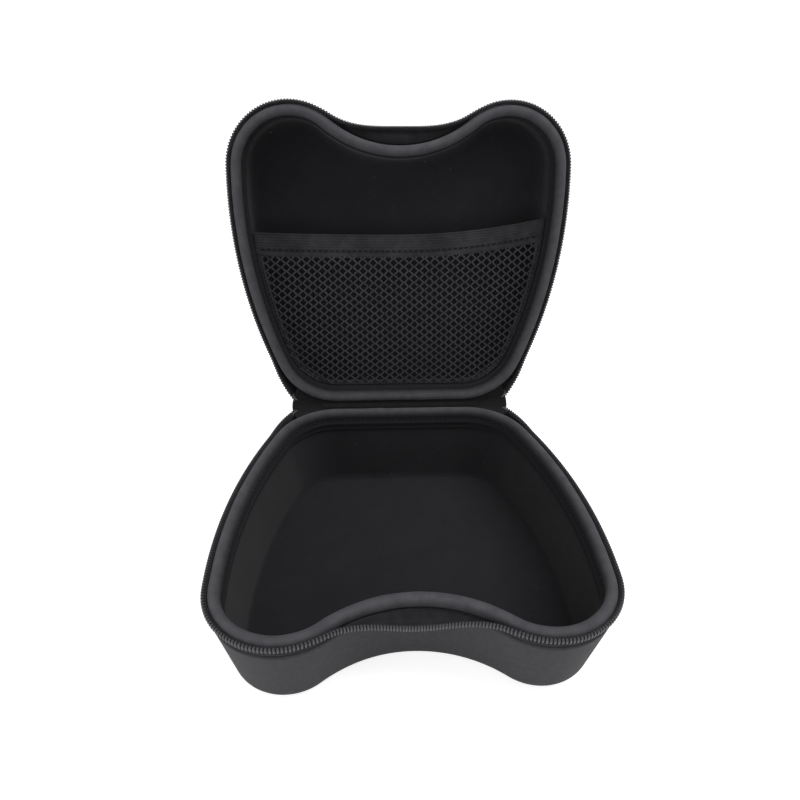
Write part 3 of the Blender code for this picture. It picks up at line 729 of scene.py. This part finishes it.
# %% Both halves of the zip
cord_shape = (-0.31 * MM, 0.0, 0.62 * MM, 1.6, 420)         # shift, lower, wire, broad and count
tab_shape = (-0.9 * MM, 1.2 * MM, 0.8 * MM, 3.0, 8)
tab_lap, tab_beyond = 2.5 * MM, 1.0 * MM
cord_reach = zip_reach - coil_pitch
for word, half in (("base", BASE), ("lid", LID)):
    woven = finish(tape(word + "_woven_tape", half), word, zip_tape, [word + "_zipper_tape"])
    wire = finish(coil(word + "_nylon_coil", half), word, nylon_coil, [word + "_zipper_coil"])
    filler = along_zip(word + "_coil_cord", half, -cord_reach, cord_reach, *cord_shape)
    finish(filler, word, zip_tape)
    for side, label in ((-1, "left"), (1, "right")):
        first, last = side * (zip_reach - tab_lap), side * (zip_reach + tab_beyond)
        tab = along_zip(f"{word}_tape_end_{label}", half, first, last, *tab_shape)
        finish(tab, word, end_tab_cloth)

# %% [markdown]
# ## The cloth hinge
# A strip of cloth is sewn down the back of both cups and folds between them. A second, narrow one
# joins the two bound edges on the inside and runs out to the ends of the zip, where it widens into
# a small web. Both belong to both bodies, so neither is given to one: each is drawn in the open pose,
# on the base at one side, on the lid at the other, with a smooth fold between.

# %% Hinge strip
strip_half_length, strip_reach, strip_thickness = 46.0 * MM, 20.0 * MM, 0.8 * MM
strip_crest_back, strip_crest_up, strip_columns = -0.4 * MM, -0.9 * MM, 93


def across_hinge(reach, count):
    """Places on both sides of the hinge's middle, and the same places as distances from the dip."""
    from_hinge = np.linspace(-reach, reach, count)
    return from_hinge, np.where(from_hinge < 0, -1.0, 1.0) * (half_length - np.abs(from_hinge))


def by_axis(across, back=0.0, up=0.0):
    """World points a little behind and above the hinge axis."""
    return np.stack(np.broadcast_arrays(across, hinge_y + back, base_height + up), -1)


def hinge_strip():
    """Part on the base, a round fold about the hinge axis and part on the lid."""
    distance = across_hinge(strip_half_length, strip_columns)[1]
    depth = np.linspace(strip_reach, shell_rim, 14)[:, None]
    low, high = (place(distance, skin_at(depth, draft) + fit_gap + strip_thickness / 2, depth, half)
                 for half, draft in ((BASE, base_draft), (LID, lid_draft)))
    first, last = low[-1], high[-1]
    crest = by_axis(first[:, 0], strip_crest_back, strip_crest_up)
    share = np.linspace(0, 1, 9)[1:-1, None, None]
    points = np.concatenate([low, quadratic(first, 2 * crest - (first + last) / 2, last, share), high[::-1]])
    along = run_length(points[:, strip_columns // 2])
    return surface("hinge_cloth_strip", points, uv_grid(points[0, :, 0], along))


# %% Inner hinge cloth
web_start, web_end, web_rise, web_reach = 42.0 * MM, 63.0 * MM, -1.6 * MM, 3.8 * MM
web_depth, web_sewn, web_thickness, web_columns = 2.4 * MM, -0.35 * MM, 0.5 * MM, 123


def inner_hinge():
    """Quadratic arch from one bound edge over the hinge axis to the other. Its crest stands out along
    the bisector of the open angle, and in the corners it reaches outwards to the zip's ends."""
    from_hinge, distance = across_hinge(web_end, web_columns)
    corner = np.clip((np.abs(from_hinge) - web_start) / (web_end - web_start), 0, 1)
    into_corner = np.clip(4 * corner, 0, 1)
    depth, sewn = web_depth - 0.7 * MM * into_corner, web_sewn - 0.4 * MM * into_corner
    low, high = (place(distance, sewn, depth, half) for half in (BASE, LID))
    reach = low[:, 0] + np.sign(from_hinge) * web_reach * corner ** 2
    bisector = np.array([0.0, -math.sin(open_angle / 2), math.cos(open_angle / 2)])
    rise = web_rise * (1 - corner) * (1 + 0.35 * soft(distance, (9, 17, 26, 41), 6))
    crest = by_axis(reach) + rise[:, None] * bisector
    points = quadratic(low, 2 * crest - (low + high) / 2, high, np.linspace(0, 1, 15)[:, None, None])
    along = run_length(points[:, web_columns // 2])
    return surface("inner_hinge_cloth", points, uv_grid(from_hinge, along))


def bend_at_hinge(piece, thickness, nodes=()):
    """Give a cloth that belongs to both bodies its wall and its material, hide the solids that it stands for
    and bake its transform; it gets no body.
    """
    wall = piece.modifiers.new("cloth", "SOLIDIFY")
    wall.thickness, wall.offset = thickness, 0.0
    finish(piece, None, hinge_cloth, nodes)
    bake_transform(piece)


bend_at_hinge(hinge_strip(), strip_thickness, ["hinge_strip"])
bend_at_hinge(inner_hinge(), web_thickness)

# %% [markdown]
# ## The net pocket
# The mouth is an elastic band with ribs along it and a hem where the net is sewn on. The net is
# knotless: zigzag threads that touch their neighbours at every corner and leave diamonds about
# 5.9 mm wide and 4.5 mm high. It is sewn in round its edge and bulges a little towards the case's
# inside, because the pocket is never quite flat.

# %% Pocket outline
band_middle, band_left_rise, band_right_rise, band_sag = 91.0 * MM, 0.5 * MM, 9.0 * MM, 1.5 * MM
band_width, band_thickness = 13.0 * MM, 1.2 * MM
pocket_depth = skirt_depth + fit_gap + band_thickness / 2


def band_height(across, share):
    """Distance from the hinge side: a parabola that rises more on the right, with the band's low edge
    at share -1 and its high one at 1."""
    reach = across / lobe_half_width
    rise = np.where(across < 0, band_left_rise, band_right_rise)
    return band_middle + rise * reach ** 2 - band_sag * (1 - reach ** 2) + share * band_width / 2


def pocket_edge(distance):
    """Plan points of the pocket's edge, just inside the lining."""
    point, normal = outline(distance)
    return point + normal * (skin_at(pocket_depth + band_thickness / 2, lid_draft, lined_wall) - 2 * fit_gap)


edge_at = np.linspace(half_length / 3, half_length, 600)
edge_table = pocket_edge(edge_at)


def half_width(height):
    """Half the pocket's width at a distance from the hinge side, read off the edge."""
    return np.interp(height, edge_table[::-1, 1], edge_table[::-1, 0])


def in_lid(across, height, depth):
    """World points in the lid from a plan point and a depth."""
    return to_room(np.stack([across, height], -1), depth, LID)


# %% Elastic band
rib_pitch, rib_height, band_hem, welt_height = 1.45 * MM, 0.06 * MM, 0.22 * MM, 0.35 * MM
seam_share, seam_lift = -0.42, 0.6 * MM
to_front = np.array([0.0, -math.sin(open_angle), -math.cos(open_angle)])


def elastic():
    """Ribs are a cosine of the share, the mouth's edge is a thin welt and the lower fifth a plain hem."""
    share = np.linspace(-1, 1, 61)[:, None]
    right = half_width(band_middle + share * band_width / 2)
    for _ in range(3):
        right = half_width(band_height(right, share))
    left = half_width(band_height(-right, share))
    across = -left + (right + left) * np.linspace(0, 1, 121)
    height = band_height(across, share)
    rib = np.where(share < -0.55, band_hem, rib_height * np.cos(math.pi * share * band_width / rib_pitch))
    rib = rib + welt_height * np.exp(-((share - 0.93) / 0.05) ** 2)
    seam = -0.25 * MM * np.exp(-((share + 0.52) / 0.035) ** 2)
    rounded = 0.5 * MM * np.clip(1 - np.abs(share), 0, 0.08) / 0.08
    front, back = (in_lid(across, height, depth)
                   for depth in (pocket_depth - rounded - rib - seam, pocket_depth + rounded))
    points = np.concatenate([front, back[::-1]])
    uv = uv_grid(across[0], np.concatenate([share[:, 0], share[::-1, 0], share[:1, 0]]) * band_width / 2)
    return surface("pocket_elastic_band", points.transpose(1, 0, 2), uv.transpose(1, 0, 2), solid=True)


def band_row(share, lift):
    """World points along the band at a share of its width, lifted off its front by lift."""
    reach = half_width(band_middle + share * band_width / 2) - 1.5 * MM
    across = np.linspace(-reach, reach, 200)
    return in_lid(across, band_height(across, share), pocket_depth - lift)


band = finish(elastic(), "lid", elastic_band, ["pocket_band"])
band_seam = stitches("pocket_band_seam", band_row(seam_share, seam_lift), to_front, *band_stitch)
finish(band_seam, "lid", sewing_thread)

# %% Net
net_cell_width, net_cell_height, net_radius = 5.9 * MM, 4.5 * MM, 0.42 * MM
net_bulge, net_bulge_reach, net_uneven = 2.2 * MM, 75 * MM, 0.35 * MM
net_waves = 23 * MM, 17 * MM
net_start, net_flatness, net_knot = 1.5 * MM, 0.8, 0.35


def net():
    """Tubes along zigzags: across = column +- a quarter cell by a triangle wave, up in half cells.
    Only stretches inside the pocket's edge are kept, and the sheet bulges by a product of parabolas."""
    steps, sides = 4, 6
    columns = np.arange(-30, 30) * net_cell_width / 2 + net_cell_width / 4
    rows = np.arange(0, 48 * steps + 1) / steps
    phase = np.abs((rows % 2) - 1) * 2 - 1
    sign = np.where(np.arange(len(columns)) % 2, -1.0, 1.0)
    across = columns[:, None] + sign[:, None] * (net_cell_width / 4 - 0.75 * net_radius) * phase
    height = np.broadcast_to(rows * net_cell_height / 2 + net_start, across.shape)
    centred = 2 * height / band_middle - 1
    bulge = net_bulge * np.clip(1 - (across / net_bulge_reach) ** 2, 0, 1) * np.clip(1 - centred ** 2, 0, 1)
    uneven = net_uneven * np.sin(across / net_waves[0] + height / net_waves[1])
    spine = in_lid(across + uneven, height, pocket_depth - bulge)
    side = unit(np.cross(unit(np.gradient(spine, axis=1)), -to_front))
    thick = net_radius * (1 + net_knot * np.abs(phase) ** 6)[:, None, None]
    keep = (np.abs(across) < half_width(height) - fit_gap) & (height < band_height(across, -1.0) + MM)
    return rings_round(spine, side, -net_flatness * to_front, thick, sides), keep, across, height


def net_mesh():
    """One mesh of all kept stretches; each stretch is a ring of quads between two neighbouring rings."""
    points, keep, across, height = net()
    rings, sides = points.shape[1:3]
    kept = keep[:, :-1] & keep[:, 1:]
    line, at = np.nonzero(kept)
    quads = ring_quads((line * rings + at) * sides, sides)
    starts = kept & ~np.pad(kept, ((0, 0), (1, 0)))[:, :-1]
    stops = kept & ~np.pad(kept, ((0, 0), (0, 1)))[:, 1:]
    first = np.flatnonzero(np.pad(starts, ((0, 0), (0, 1))).ravel())[:, None] * sides + np.arange(sides)[::-1]
    last = np.flatnonzero(np.pad(stops, ((0, 0), (1, 0))).ravel())[:, None] * sides + np.arange(sides)
    corners = np.concatenate([quads.ravel(), first.ravel(), last.ravel()])
    used, packed = np.unique(corners, return_inverse=True)
    packed = packed.ravel()
    plan = np.stack([across, height], -1).reshape(-1, 2)[used // sides]
    faces = [packed[:quads.size].reshape(-1, 4), packed[quads.size:].reshape(-1, sides)]
    return build("pocket_diamond_net", points.reshape(-1, 3)[used], faces, plan[packed])


# %% Hem of the net
hem_width, hem_lift, hem_seam_inset, hem_sides = 3.2 * MM, 0.5 * MM, 2.6 * MM, 14
band_end, hem_steps = 80 * MM, 120
# distances round the hinge end, from the band's right end to its left; the sign changes at the hinge
right_end, left_end = (np.interp(-band_height(side * band_end, -1.0), -edge_table[:, 1], edge_at)
                       for side in (1, -1))
round_hem = np.concatenate([np.linspace(right_end, half_length, hem_steps),
                            -np.linspace(half_length, left_end, hem_steps)[1:]])


def hem(name, distance):
    """Folded tape along the net's edge: an oval, flattened by the power 0.6, carried round the pocket."""
    edge = skin_at(pocket_depth + band_thickness / 2, lid_draft, lined_wall)
    angle = 2 * math.pi * np.arange(hem_sides) / hem_sides
    circle = np.stack([np.cos(angle), np.sin(angle)])
    across, up = np.sign(circle) * np.abs(circle) ** 0.6
    offset = edge - 2 * fit_gap - hem_width / 2 + hem_width / 2 * across
    points = place(distance[:, None], offset, pocket_depth + hem_lift * up, LID)
    uv = uv_grid(np.arange(hem_sides + 1) * 0.5 * MM, np.abs(distance))
    return surface(name, points, uv, solid=True)


net_piece = finish(net_mesh(), "lid", net_thread, ["pocket_net"])
net_hem = finish(hem("pocket_net_hem", round_hem), "lid", elastic_band)
hem_seam_offset = skin_at(pocket_depth, lid_draft, lined_wall) - hem_seam_inset
hem_line = place(round_hem, hem_seam_offset, pocket_depth - hem_lift, LID)
hem_seam = stitches("pocket_hem_seam", hem_line, to_front, *hem_stitch)
finish(hem_seam, "lid", sewing_thread)

# %% [markdown]
# ## Sliders and pulls
# Both sliders are parked behind the corners, where the zip ends. Their solids already have the right
# shape, so they keep it and get the coated metal.

# %% Metal finish
for name in ("slider_left", "slider_right", "pull_left", "pull_right"):
    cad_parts[name].material_slots[0].material = black_zinc

# %% [markdown]
# ## Floor, light and camera
# The case stands on a white sweep in soft light from all round. A larger light hangs above it on the
# right, and a low one on the left keeps the front of the lobes from going dark. The camera looks
# down by 34 degrees from the front, as close as a phone would be held.

# %% Floor
white = (1, 1, 1, 1)
floor_size, floor_drop = 60.0, 0.5 * MM


def white_floor():
    """Plain white floor that camera and reflections see as a clean background with the case's shadow."""
    bpy.ops.mesh.primitive_plane_add(size=floor_size, location=(0, 0, -floor_drop))
    floor = bpy.context.object
    floor.name = "floor"
    made, tree, shader = material("white_paper_sweep", Base_Color=linear("#f4f4f4"), Roughness=0.9,
                                  Specular_IOR_Level=0.1)
    floor.data.materials.append(made)
    camera_ray = node(tree, "ShaderNodeLightPath", output="Is Camera Ray")
    glossy_ray = node(tree, "ShaderNodeLightPath", output="Is Glossy Ray")
    seen = node(tree, "ShaderNodeMath", {0: camera_ray, 1: glossy_ray}, operation="MAXIMUM")
    glow = node(tree, "ShaderNodeMath", {0: seen, 1: 0.8}, operation="MULTIPLY")
    fill(tree, shader, {"Emission Strength": glow, "Emission Color": white})


white_floor()

# %% Light
world = bpy.data.worlds.new("studio")
bpy.context.scene.world = world
world.use_nodes = True
camera_ray = node(world.node_tree, "ShaderNodeLightPath", output="Is Camera Ray")
level = node(world.node_tree, "ShaderNodeMapRange", {"Value": camera_ray, "To Min": 0.4})
fill(world.node_tree, world.node_tree.nodes["Background"], {"Color": white, "Strength": level})


def softbox(name, place_at, aim, size, watts):
    """Square area lamp that looks from its place to its aim: its minus Z follows the difference."""
    lamp = bpy.data.lights.new(name, "AREA")
    lamp.energy = watts
    lamp.size = size
    holder = put(name, lamp)
    holder.location = place_at
    holder.rotation_euler = (Vector(aim) - Vector(place_at)).to_track_quat("-Z", "Y").to_euler()


softbox("key", (0.65, 0.0, 1.3), (0, 0.0, 0.08), 0.9, 8)
softbox("low_left", (-1.25, -0.35, 0.4), (0, 0.0, 0.05), 0.8, 3.3)


# %% Camera
def photo_camera():
    """Camera from the fitted view: yaw a, pitch e and roll r about the hinge's centre give its axes
    back = (sin a cos e, -cos a cos e, sin e) and right = (cos a, sin a, 0)."""
    yaw, pitch, roll = math.radians(-3.15), math.radians(34.22), math.radians(0.85)
    reach, shift_right, shift_up = 407.1 * MM, -0.1 * MM, 2.45 * MM
    focal_pixels, frame_pixels, sensor = 680.0, 800.0, 36.0
    back = np.array([math.sin(yaw) * math.cos(pitch), -math.cos(yaw) * math.cos(pitch), math.sin(pitch)])
    right = np.array([math.cos(yaw), math.sin(yaw), 0.0])
    up = np.cross(back, right)
    right, up = (math.cos(roll) * right + math.sin(roll) * up, math.cos(roll) * up - math.sin(roll) * right)
    spot = by_axis(0.0) + back * reach + right * shift_right + up * shift_up
    lens = bpy.data.cameras.new("phone")
    lens.sensor_width = sensor
    lens.lens = sensor * focal_pixels / frame_pixels
    lens.clip_start = 0.01
    camera = put("phone", lens)
    columns = np.eye(4)
    columns[:3] = np.column_stack([right, up, back, spot])
    camera.matrix_world = Matrix(columns.tolist())
    bpy.context.scene.camera = camera


photo_camera()
bpy.context.scene.view_settings.view_transform = "Standard"

# %% [markdown]
# ## Closing
# Cloth may stand a little proud of its solid but must not change the size of the case.

# %% Finish
bpy.context.view_layer.update()
